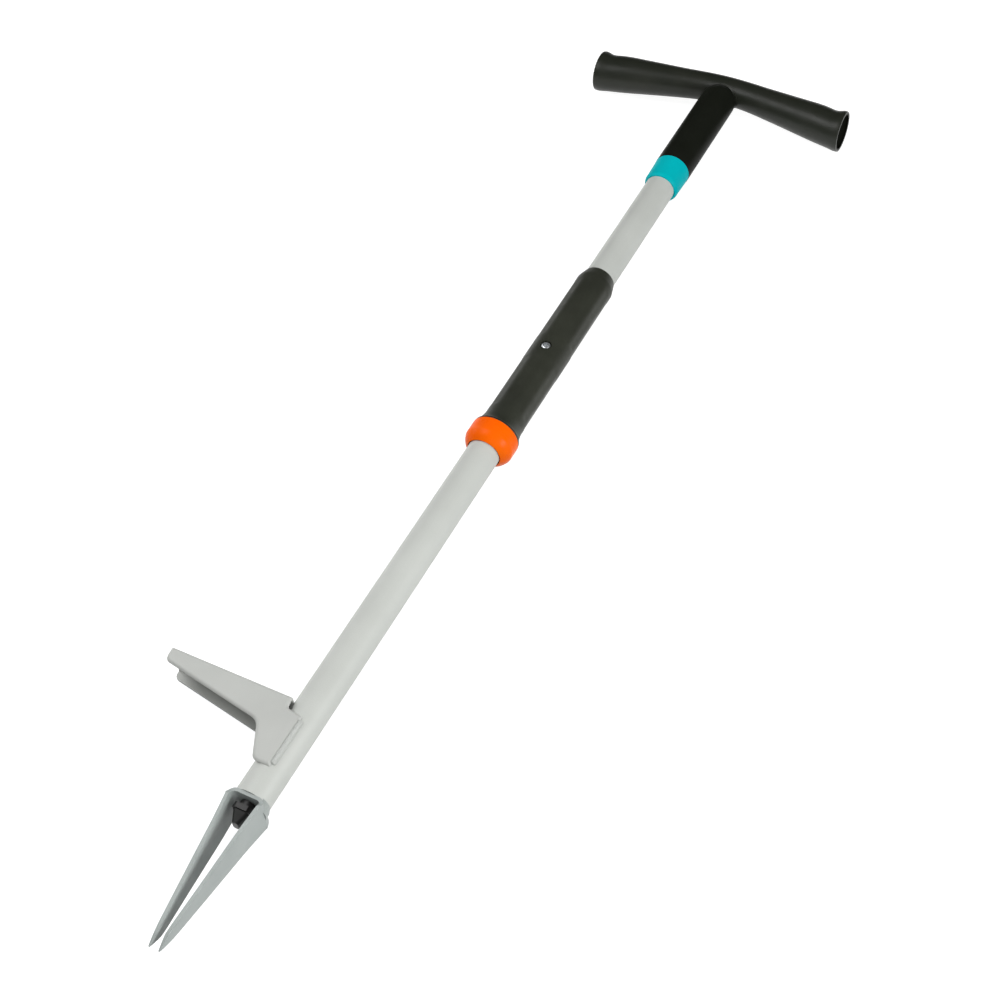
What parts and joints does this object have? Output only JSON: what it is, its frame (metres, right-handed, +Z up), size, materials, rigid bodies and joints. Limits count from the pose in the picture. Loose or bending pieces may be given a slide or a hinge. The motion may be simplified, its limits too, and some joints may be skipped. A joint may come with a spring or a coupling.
{
  "type": "stand up weeder",
  "caption": "Long-handled weeder with a T-handle, foot pedal, two-bladed fork and a sliding sleeve grip that pushes the weed out.",
  "frame": {"origin": "bottom centre of the object's box as it lies on its back", "axes": "+Y along the shaft towards the T-handle, +X along the T-handle away from the foot pedal, +Z up, the side of the cross screw"},
  "size_m": [0.276, 1.0928, 0.0458],
  "materials": {
    "powder_coat": "light grey powder coat, fine texture, semi-matt",
    "hard_black": "moulded black plastic, half gloss",
    "soft_black": "soft-touch black grip, matt",
    "turquoise": "turquoise moulded plastic, satin",
    "orange": "orange moulded plastic, satin",
    "zinc": "bright zinc plate",
    "bright_steel": "drawn steel",
    "nylon": "natural nylon"
  },
  "bodies": {
    "tool": {"shaft_tube": "powder_coat", "fork": "powder_coat", "fork_weld": "powder_coat", "foot_pedal": "powder_coat", "pedal_welds": "powder_coat", "handle_core": "hard_black", "t_grip": "soft_black", "neck_ring": "turquoise", "upper_plug": "nylon", "neck_screw": "zinc", "rod_guide_lower": "nylon", "rod_guide_upper": "nylon"},
    "ejector": {"ejector_grip": "soft_black", "grip_liner": "hard_black", "grip_ring": "orange", "cross_screw": "zinc", "cross_nut": "zinc", "slot_spacer": "zinc", "rod_slider": "nylon", "push_rod": "bright_steel", "slider_pin": "bright_steel", "ejector_head": "hard_black", "head_pin": "bright_steel"}
  },
  "joints": [
    {"name": "ejector_slide", "type": "slide", "parent": "tool", "child": "ejector", "axis": [0, -1, 0], "range_m": [0, 0.044]}
  ]
}
